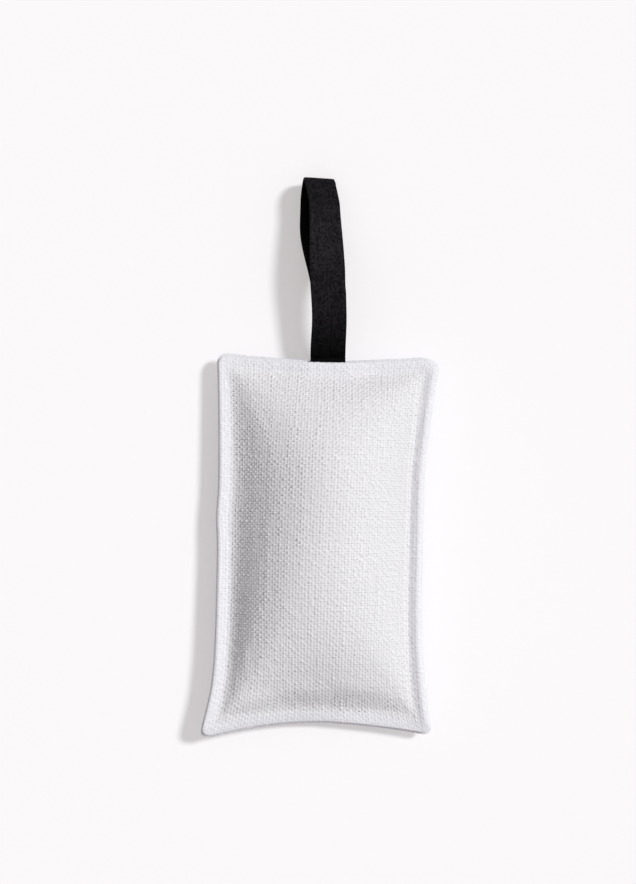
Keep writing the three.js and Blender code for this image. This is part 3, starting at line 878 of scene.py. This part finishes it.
def tape_material():
    material, tree, shader = start_material("tape")
    u, v = thread_counts(tree)
    tint = thread_tint(tree, u, v, seed_u=7, seed_v=23)
    crossing = cell_tint(tree, u, v)
    hole = holes(tree, u, v, narrow_u=3, narrow_v=3)
    # the hole share below darkens the colour as painted shade between threads
    shade = shaded(tree, 0.25, (tint, 0.2), (crossing, 1.1), (hole, -0.4))
    # the tape's colour takes a painted shade beside the seam and on the rear leaf
    shade = calc(tree, "MULTIPLY", shade, tape_painted_shade(tree, v))
    fibres = both_ways(tree, u, v, fine=6, coarse=1.5, detail=3)
    add_bump(tree, shader, fibres, strength=0.4, depth=0.08)
    feed(tree, shader, {
        "Base Color": scaled_colour(tree, TAPE_COLOUR, shade),
        "Roughness": shaded(tree, 0.42, (fibres, 0.15)),
        "Specular IOR Level": 0.02,
    })
    return material


def thread_material():
    material, tree, shader = start_material("thread")
    u, v = thread_counts(tree)
    twist = calc(tree, "SINE", calc(tree, "MULTIPLY", calc(tree, "ADD", u, v), 2 * math.pi))
    add_bump(tree, shader, twist, strength=0.5, depth=0.08)
    # painted shade in the grooves of the twist, where the bump sinks
    colour = scaled_colour(tree, THREAD_COLOUR, shaded(tree, 0.96, (twist, 0.04)))
    feed(tree, shader, {"Base Color": colour, "Roughness": 0.6})
    return material


def muslin_material():
    material, tree, shader = start_material("muslin")
    u, v = thread_counts(tree)
    hole = holes(tree, u, v, narrow_u=2, narrow_v=2)
    slub = thread_noise(tree, u, v, scale_u=1, scale_v=0.05)
    add_bump(tree, shader, hole, strength=0.4, depth=-0.15)
    # painted shade in the holes between threads, where the bump sinks
    colour = scaled_colour(tree, MUSLIN_COLOUR, shaded(tree, 0.95, (hole, -0.25), (slub, 0.1)))
    feed(tree, shader, {"Base Color": colour, "Roughness": 0.95})
    return material


def flowers_material():
    """Dried buds: small rounded cells, from grey green to dusty violet."""
    material, tree, shader = start_material("dried_flowers")
    place = add_node(tree, "TexCoord", {})
    cells = add_node(tree, "TexVoronoi", {"Scale": BUDS_PER_METRE, "Vector": place.outputs["Object"]})
    split = add_node(tree, "SeparateColor", {0: cells.outputs["Color"]})
    ramp = add_node(tree, "ValToRGB", {0: split.outputs[0]})
    for stop, colour in zip(ramp.color_ramp.elements, BUD_COLOURS):
        stop.color = colour
    add_bump(tree, shader, cells.outputs["Distance"], strength=0.8, depth=-1.5)
    feed(tree, shader, {"Base Color": ramp.outputs[0], "Roughness": 0.95})
    return material


# Sewing thread

STITCH_POINTS = 7
STITCH_SIDES = 6
STITCH_RADIUS = 0.2
STITCH_SINK = 0.08  # how deep the stitches are drawn into the cloth
STITCH_DIP = 0.35  # how much deeper their ends go
STITCH_ARCH = 0.6  # how square the arch of a stitch is
STITCH_END = 0.6  # share of its thickness at its ends
STITCH_REACH = 0.4  # half of the share of its length that a stitch shows
STITCH_REACH_SPREAD = 0.04
STITCH_HEIGHT_SPREAD = 0.05
STITCH_TWISTS = 4
SEAM_THREAD_RADIUS = 0.2
SEAM_THREAD_POINTS = 600
RING_STEPS = 4000
CORNER_STEPS = 24
STEPS_BETWEEN = 40


def ring_line(inset, count):
    """Evenly spaced places in the plan along one inset, anticlockwise, and the length of that line."""
    corner, core_x, core_y = ring_corner(inset)
    turns = np.linspace(0, math.pi / 2, CORNER_STEPS)
    x, y = [], []
    for quarter, (side_x, side_y) in enumerate([(1, 1), (-1, 1), (-1, -1), (1, -1)]):
        angle = turns + quarter * math.pi / 2
        x.extend(side_x * core_x + corner * np.cos(angle))
        y.extend(side_y * core_y + corner * np.sin(angle))
    x, y = np.array(x + x[:1]), np.array(y + y[:1])
    share = np.linspace(0, 1, STEPS_BETWEEN, endpoint=False)
    x = np.append((x[:-1, None] + np.diff(x)[:, None] * share).ravel(), x[-1])
    y = np.append((y[:-1, None] + np.diff(y)[:, None] * share).ravel(), y[-1])
    plan = np.stack(drawn_in(x, y), axis=-1)
    arc = arc_lengths(plan)
    even = np.linspace(0, arc[-1], count)
    return np.interp(even, arc, x), np.interp(even, arc, y), arc[-1]


def tube(line, radius, sides):
    """Points round a line, one row for each of its points."""
    along = unit(np.gradient(line, axis=0))
    side = unit(np.cross(along, (0, 0, 1)))
    over = np.cross(side, along)
    angle = np.linspace(0, 2 * math.pi, sides, endpoint=False)
    around = np.cos(angle)[None, :, None] * side[:, None] + np.sin(angle)[None, :, None] * over[:, None]
    return line[:, None] + np.reshape(radius, (-1, 1, 1)) * around


def tube_faces(rows, sides, first, closed=False):
    faces = []
    for i in range(rows if closed else rows - 1):
        after = (i + 1) % rows
        for k in range(sides):
            turn = (k + 1) % sides
            faces.append([first + i * sides + k, first + after * sides + k,
                          first + after * sides + turn, first + i * sides + turn])
    if not closed:
        faces.append([first + k for k in range(sides)])
        faces.append([first + (rows - 1) * sides + k for k in reversed(range(sides))])
    return faces


def groove_place(x, y, face):
    """Points in the topstitched groove."""
    inset = np.full_like(x, EDGE_WIDTH)
    return lifted(x, y, inset, edge_height(inset, x, y) + pocket(inset, x, y) - STITCH_SINK, face)


def tube_counts(rows):
    """Thread counts of a tube: once round it, and along it as the rows say."""
    turn, row = np.meshgrid(np.arange(STITCH_SIDES) / STITCH_SIDES, rows)
    return np.stack([turn.ravel(), row.ravel()], axis=-1)


def topstitch(name, face, material, random):
    """Single stitches in the groove, whose ends go down into the cloth."""
    x, y, length = ring_line(EDGE_WIDTH, RING_STEPS + 1)
    step = np.arange(RING_STEPS + 1)
    stitches = round(length / STITCH)
    arch = np.sin(np.linspace(0, math.pi, STITCH_POINTS)) ** STITCH_ARCH
    points, faces, counts = [], [], []
    for k in range(stitches):
        reach = STITCH_REACH + STITCH_REACH_SPREAD * random.standard_normal()
        place = (k + 0.5 + np.linspace(-reach, reach, STITCH_POINTS)) / stitches * RING_STEPS
        line = groove_place(np.interp(place, step, x), np.interp(place, step, y), face)
        raised = STITCH_HEIGHT_SPREAD * random.standard_normal()
        line[:, 2] += face * (lerp(-STITCH_DIP, 0, arch) + raised)
        faces += tube_faces(STITCH_POINTS, STITCH_SIDES, k * STITCH_POINTS * STITCH_SIDES)
        radius = STITCH_RADIUS * lerp(STITCH_END, 1, arch)
        points.append(tube(line, radius, STITCH_SIDES).reshape(-1, 3))
        counts.append(tube_counts(np.linspace(0, STITCH_TWISTS, STITCH_POINTS)))
    return make_piece(name, np.concatenate(points), faces, material, np.concatenate(counts))


def edge_seam(name, material):
    """The joining thread, between the two turned edges."""
    x, y, length = ring_line(SEAM_INSET, SEAM_THREAD_POINTS + 1)
    x, y = x[:-1], y[:-1]
    line = lifted(x, y, SEAM_INSET, 0, 1)
    points = tube(line, SEAM_THREAD_RADIUS, STITCH_SIDES).reshape(-1, 3)
    faces = tube_faces(SEAM_THREAD_POINTS, STITCH_SIDES, 0, closed=True)
    counts = tube_counts(np.arange(SEAM_THREAD_POINTS) * length / SEAM_THREAD_POINTS)
    return make_piece(name, points, faces, material, counts)


# Hanging loop

TAPE_WARPS = 20
TAPE_SAMPLES = 2  # lines of the mesh to a thread of the tape
TAPE_PICK = 0.8  # length of one weft thread along the tape
TAPE_RISE = 0.1  # of a warp thread where it lies on top
TAPE_WEFT_RISE = 0.04
TAPE_HOLE = 0.12
TAPE_UNEVEN = 0.015
TAPE_UNEVEN_REACH = 2
SELVEDGE_THINNING = 0.55  # how much thinner the tape is at its two sides
SELVEDGE_SHARPNESS = 14
CURVE_STEPS = 1500
FOLD_STEPS = 1000
LYING_STEPS = 200
TAIL_HANDLE = 3
TAIL_EASE = 1.5
FLOOR_ROOM = 0.08  # between the tape and the table
CREST_REACH = 0.7  # how much further out the fold is than in the CAD source

# How the tape leans to the left and rolls; spans are shares of the way out from the seam to the fold

FRONT_LEAN = 1.9
CREST_LEAN = 2.6
CREST_SPAN = (0.94, 1.17)
REAR_LEAN = 4.6
REAR_SPAN = (0.36, 0.85)
REAR_BOW = 0.45
REAR_BOW_FROM = 0.45
SWAY = 0.3  # of both leaves beside the seam
SWAY_SPAN = (0.24, 0.45)
TAPE_ROLL = math.radians(30)  # the front leaf turns its right side down towards the fold
ROLL_SPAN = (0.35, 0.95)
ROLL_END = (0.4, 1)  # shares of the way round the fold between which the roll ends
LEAN_END = (0.5, 1)  # and between which the front leaf's lean passes into the rear one's
ARCH_ROLL = math.radians(15)  # both leaves turn it up on their arch
ARCH_END = 0.6
ROLL_LINE = -TAPE_WIDTH / 4  # place across the tape of the line about which it rolls


def curve(points, t):
    """Point of a cubic curve with four guide points."""
    weights = [(1 - t) ** 3, 3 * t * (1 - t) ** 2, 3 * t ** 2 * (1 - t), t ** 3]
    return sum(w[..., None] * np.array(p) for w, p in zip(weights, points))


def tape_line():
    """Middle line of the tape as places along Y and Z: from the front tail up out of the seam, over to
    the fold, and back along the rear leaf."""
    fold = np.array([FOLD_Y, FOLD_Z])
    down = np.array([math.cos(FOLD_TILT), -math.sin(FOLD_TILT)])
    rise = np.array([math.cos(RISE_ANGLE), math.sin(RISE_ANGLE)])
    root = np.array([BEND_Y, SEAM_Z]) + TAPE_MID * np.array([-rise[1], rise[0]])
    top = fold + FOLD_RADIUS * np.array([math.sin(FOLD_TILT), math.cos(FOLD_TILT)])
    t = np.linspace(0, 1, CURVE_STEPS)

    def tail(z, end):
        return curve([[TAIL_Y, z], [TAIL_Y + TAIL_HANDLE, z], end - TAIL_EASE * rise, end], t[:-1])

    front = curve([root, root + RISE_REACH * rise, top - FOLD_REACH * down, top], t)
    angle = np.linspace(math.pi / 2 - FOLD_TILT, -math.pi / 2, FOLD_STEPS)
    round_it = fold + FOLD_RADIUS * np.stack([np.cos(angle), np.sin(angle)], axis=-1)
    along = unit(np.gradient(front, axis=0))
    under = front + 2 * TAPE_MID * np.stack([along[:, 1], -along[:, 0]], axis=-1)
    parting = int(PARTING * len(t))
    leave = under[parting]
    landing = np.array([FOLD_Y - LYING, TAPE / 2])
    drop = curve([leave, leave + DROP_REACH * along[parting], landing - [DROP_REACH, 0], landing], t)
    lying = np.linspace(landing, [FOLD_Y, TAPE / 2], LYING_STEPS)
    rear = np.concatenate([tail(SEAM_Z - TAPE_MID, under[0]), under[:parting], drop, lying])
    return tail(SEAM_Z + TAPE_MID, root), front, round_it, rear[::-1]


def tape_surface(across):
    """Points of the tape's middle surface, in evenly spaced rows, and its length."""
    parts = tape_line()
    line = np.concatenate(parts)
    ends = np.cumsum([len(part) for part in parts])
    number = np.arange(len(line))
    out = (line[:, 0] - BEND_Y) / (FOLD_Y - BEND_Y)
    round_it = clamp01((number - ends[1]) / (ends[2] - ends[1]))

    sway = SWAY * np.cos(math.pi * clamp01(out / SWAY_SPAN[0])) * (1 - smoothstep(*SWAY_SPAN, out))
    front_lean = FRONT_LEAN * clamp01(out) ** 2 + CREST_LEAN * smoothstep(*CREST_SPAN, out)
    front_lean = lerp(front_lean, REAR_LEAN, smoothstep(*LEAN_END, round_it))
    bow = np.sin(math.pi * clamp01((out - REAR_BOW_FROM) / (1 - REAR_BOW_FROM)))
    rear_lean = REAR_LEAN * smoothstep(*REAR_SPAN, out) + REAR_BOW * bow
    x = LOOP_X - np.where(number >= ends[2], rear_lean, front_lean) - sway
    roll = TAPE_ROLL * smoothstep(*ROLL_SPAN, out) * (1 - smoothstep(*ROLL_END, round_it))
    roll = roll - ARCH_ROLL * np.sin(math.pi * clamp01(out / ARCH_END))

    arc = arc_lengths(line)
    arc += np.linspace(0, 1e-6, len(arc))  # so that no two points share a place
    even = np.linspace(0, arc[-1], round(arc[-1] / TAPE_PICK) * TAPE_SAMPLES + 1)
    along = (x, line[:, 0], line[:, 1], roll)
    x, y, z, roll = (np.interp(even, arc, values)[:, None] for values in along)
    y = y + CREST_REACH * np.exp(-((y - FOLD_Y - FOLD_RADIUS) / FOLD_RADIUS) ** 2)
    z = np.maximum(z - np.sin(roll) * (across - ROLL_LINE), TAPE / 2 + TAPE_RISE + FLOOR_ROOM)
    surface = np.stack(np.broadcast_arrays(x + np.cos(roll) * across, y, z), axis=-1)
    return surface, arc[-1]


def tape_piece(name, material, random):
    """The whole tape as one woven strip, and its length."""
    columns = TAPE_WARPS * TAPE_SAMPLES + 1
    share = np.linspace(-1, 1, columns)[None, :]
    surface, length = tape_surface(TAPE_WIDTH / 2 * share)
    rows = len(surface)
    samples = (TAPE_SAMPLES, TAPE_SAMPLES)
    relief = plain_weave(columns, rows, *samples, TAPE_RISE, TAPE_WEFT_RISE, 0, TAPE_HOLE)
    relief = relief + TAPE_UNEVEN * smooth_noise(random, rows, columns, TAPE_UNEVEN_REACH)
    relief[:, [0, -1]] = 0
    half = TAPE / 2 * (1 - SELVEDGE_THINNING * np.abs(share) ** SELVEDGE_SHARPNESS) + relief
    offset = normals_of(surface) * half[..., None]
    points = np.concatenate([surface + offset, (surface - offset)[:, ::-1]], axis=1)
    faces = tube_faces(rows, 2 * columns, 0)
    line = np.concatenate([np.arange(columns), np.arange(columns)[::-1]])
    counts = np.stack(np.meshgrid(line, np.arange(rows)), axis=-1) / TAPE_SAMPLES
    return make_piece(name, points.reshape(-1, 3), faces, material, counts.reshape(-1, 2)), length


# Inner pouch and filling

LAYER_COLUMNS = 48
LAYER_ROWS = 88
LAYER_EDGE = 0.15  # height of a layer's edge over the seam, times its depth
MUSLIN_PITCH = 0.6
MUSLIN_ROOM = 0.5  # between the linen and the muslin
FILLING_ROOM = 0.7  # between the muslin and the filling
MUSLIN_DEPTH = LINEN + MUSLIN_ROOM  # of the muslin's outside under the linen's
FILLING_DEPTH = MUSLIN_DEPTH + MUSLIN + FILLING_ROOM
MUSLIN_FLOOR = 2  # least height of the muslin's outside over the table
FILLING_FLOOR = 2.9
CREASES = (0.3, 2)  # depth of the muslin's creases, and their reach in grid lines
BUDS = (0.9, 1)  # the same for the lumps of the filling


def layer_points(inset, depth, floor, face, waves, lumps):
    """One face of a layer inside the pouch, at a depth under the outside of the linen."""
    x, y = plan_grid(inset, LAYER_COLUMNS, LAYER_ROWS)
    crowned = GROOVE_HEIGHT + BULGE * crown(x, y) - depth - lumps
    height = np.maximum(crowned, LAYER_EDGE / depth)
    points = np.stack([*drawn_in(x, y), seam_height(x, y) + face * height], axis=-1) + waves(x, y)
    points[..., 2] = np.maximum(points[..., 2], floor)
    return points


def closed_layer(name, upper, lower, material):
    """A closed piece between two grids."""
    rows, columns = upper.shape[:2]
    first = rows * columns
    faces = grid_faces(rows, columns) + grid_faces(rows, columns, first, flip=True)
    faces += bridge(rows, columns, 1, 1, first, 1)
    points = np.concatenate([upper.reshape(-1, 3), lower.reshape(-1, 3)])
    return make_piece(name, points, faces, material, points[:, :2] / MUSLIN_PITCH)


def grid_lumps(random, size, reach):
    """Smooth lumps over a whole layer, from 0 to `size` deep."""
    rough = smooth_noise(random, LAYER_ROWS + 1, LAYER_COLUMNS + 1, reach)
    window = np.ones(2 * reach + 1) / (2 * reach + 1)
    even = np.array([np.convolve(line, window, mode="same") for line in rough.T])
    return size * clamp01(0.5 + even.T / 2)


# The pieces

front_waves, back_waves = (waves_from(moved) for moved in simulated_pouch())

random = np.random.default_rng(SEED)
linen = linen_material()
thread = thread_material()
muslin = muslin_material()

linen_front = woven_panel("linen_front", 1, front_waves, linen, random)
linen_back = woven_panel("linen_back", -1, back_waves, linen, random)
stitches_front = topstitch("stitches_front", 1, thread, random)
stitches_back = topstitch("stitches_back", -1, thread, random)
seam_thread = edge_seam("seam_thread", thread)
woven_tape, tape_length = tape_piece("woven_tape", tape_material(), random)

creases = grid_lumps(random, *CREASES)
buds = grid_lumps(random, *BUDS)
muslin_front = closed_layer(
    "muslin_front",
    layer_points(POUCH_INSET, MUSLIN_DEPTH, 0, 1, front_waves, creases),
    layer_points(POUCH_INSET, MUSLIN_DEPTH + MUSLIN, 0, 1, front_waves, creases),
    muslin,
)
muslin_back = closed_layer(
    "muslin_back",
    layer_points(POUCH_INSET, MUSLIN_DEPTH + MUSLIN, MUSLIN_FLOOR + MUSLIN, -1, back_waves, creases),
    layer_points(POUCH_INSET, MUSLIN_DEPTH, MUSLIN_FLOOR, -1, back_waves, creases),
    muslin,
)
filling = closed_layer(
    "dried_flowers",
    layer_points(FILL_INSET, FILLING_DEPTH, 0, 1, front_waves, buds),
    layer_points(FILL_INSET, FILLING_DEPTH, FILLING_FLOOR, -1, back_waves, buds),
    flowers_material(),
)

for piece, node, slot in [
    (linen_front, "front_panel", "linen"),
    (linen_back, "back_panel", "linen"),
    (stitches_front, "topstitch_needle_thread", "thread"),
    (stitches_back, "topstitch_bobbin_thread", "thread"),
    (seam_thread, "edge_seam_thread", "thread"),
    (muslin_front, "inner_pouch_front", "muslin"),
    (muslin_back, "inner_pouch_back", "muslin"),
    (filling, "flower_filling", "dried_flowers"),
]:
    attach(piece, "pouch")
    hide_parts(node)
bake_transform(woven_tape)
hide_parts("hanging_loop", "loop_tail_front", "loop_tail_back")

# Floor, light and camera

FLOOR_HALF = 4000
FLOOR_COLOUR = (0.954, 0.962, 0.984, 1)
GLOW_COLOUR = (0.985, 0.945, 0.935, 1)
FLOOR_GLOW = 0.38  # share of the floor's look that takes no shadow
SKY = 0.403
SKY_COLOUR = (1.03, 0.975, 0.99, 1)
SKY_LOW = 0.1  # share of the sky's light that comes evenly from all sides
SKY_OVERHEAD = 1.5  # how much brighter than evenly the rest is straight above
SKY_SLOPE = 0.06  # how much brighter the sky is towards its bright side
SKY_BRIGHT_SIDE = (0.9, 0.43, 0)
SKY_SEEN = 0.957  # brightness of the white sky that the camera sees
SUN_DIRECTION = (0.568, 0.271, 0.778)
SUN_STRENGTH = 2.37
SUN_ANGLE = math.radians(10)
VIEW_HEIGHT = 378.9
CAMERA_X = -0.857
CAMERA_Y = 43.97
CAMERA_DISTANCE = 1000
SENSOR = 36


def seen_ray(tree):
    """1 for what the camera sees, straight or in a reflection, and 0 for light."""
    path = add_node(tree, "LightPath", {}).outputs
    straight = calc(tree, "MAXIMUM", path["Is Camera Ray"], path["Is Glossy Ray"])
    return calc(tree, "MAXIMUM", straight, path["Is Transmission Ray"])


paper, paper_tree, paper_shader = start_material("floor")
feed(paper_tree, paper_shader, {"Base Color": FLOOR_COLOUR, "Roughness": 1, "Specular IOR Level": 0})
glow = add_node(paper_tree, "Emission", {"Color": GLOW_COLOUR, "Strength": 1})
paper_look = add_node(paper_tree, "MixShader", {
    0: calc(paper_tree, "MULTIPLY", seen_ray(paper_tree), FLOOR_GLOW),
    1: paper_shader.outputs[0],
    2: glow.outputs[0],
})
feed(paper_tree, paper_tree.nodes["Material Output"], {"Surface": paper_look.outputs[0]})
floor_corners = [(-1, -1, 0), (1, -1, 0), (1, 1, 0), (-1, 1, 0)]
floor = make_piece("floor", FLOOR_HALF * np.array(floor_corners), [(0, 1, 2, 3)], paper)

scene = bpy.context.scene
sun_data = bpy.data.lights.new("key", "SUN")
sun_data.energy = SUN_STRENGTH
sun_data.angle = SUN_ANGLE
sun = bpy.data.objects.new("key", sun_data)
sun.rotation_mode = "QUATERNION"
sun.rotation_quaternion = Vector(SUN_DIRECTION).to_track_quat("Z", "Y")
scene.collection.objects.link(sun)

world = bpy.data.worlds.new("studio")
world.use_nodes = True
scene.world = world
sky_tree = world.node_tree
seen = seen_ray(sky_tree)
unseen = calc(sky_tree, "SUBTRACT", 1, seen)
sky_tint = add_node(sky_tree, "MixRGB", {"Color1": SKY_COLOUR, "Color2": (1, 1, 1, 1), "Fac": seen})
direction = add_node(sky_tree, "TexCoord", {}).outputs["Generated"]
towards = add_node(sky_tree, "VectorMath", {0: direction, 1: SKY_BRIGHT_SIDE}, operation="DOT_PRODUCT")
upwards = calc(sky_tree, "MAXIMUM", add_node(sky_tree, "SeparateXYZ", {0: direction}).outputs[2], 0)
sky = shaded(sky_tree, SKY_LOW * SKY, (upwards, SKY_OVERHEAD * (1 - SKY_LOW) * SKY))
sky = calc(sky_tree, "MULTIPLY", sky, shaded(sky_tree, 1, (towards.outputs["Value"], SKY_SLOPE)))
strength = shaded(sky_tree, calc(sky_tree, "MULTIPLY", unseen, sky), (seen, SKY_SEEN))
feed(sky_tree, sky_tree.nodes["Background"], {"Color": sky_tint.outputs["Color"], "Strength": strength})

camera_data = bpy.data.cameras.new("camera")
camera_data.sensor_width = SENSOR
camera_data.lens = SENSOR * CAMERA_DISTANCE / VIEW_HEIGHT
camera = bpy.data.objects.new("camera", camera_data)
camera.location = (CAMERA_X * MM, CAMERA_Y * MM, (SEAM_Z + CAMERA_DISTANCE) * MM)
scene.collection.objects.link(camera)
scene.camera = camera
scene.view_settings.view_transform = "Standard"
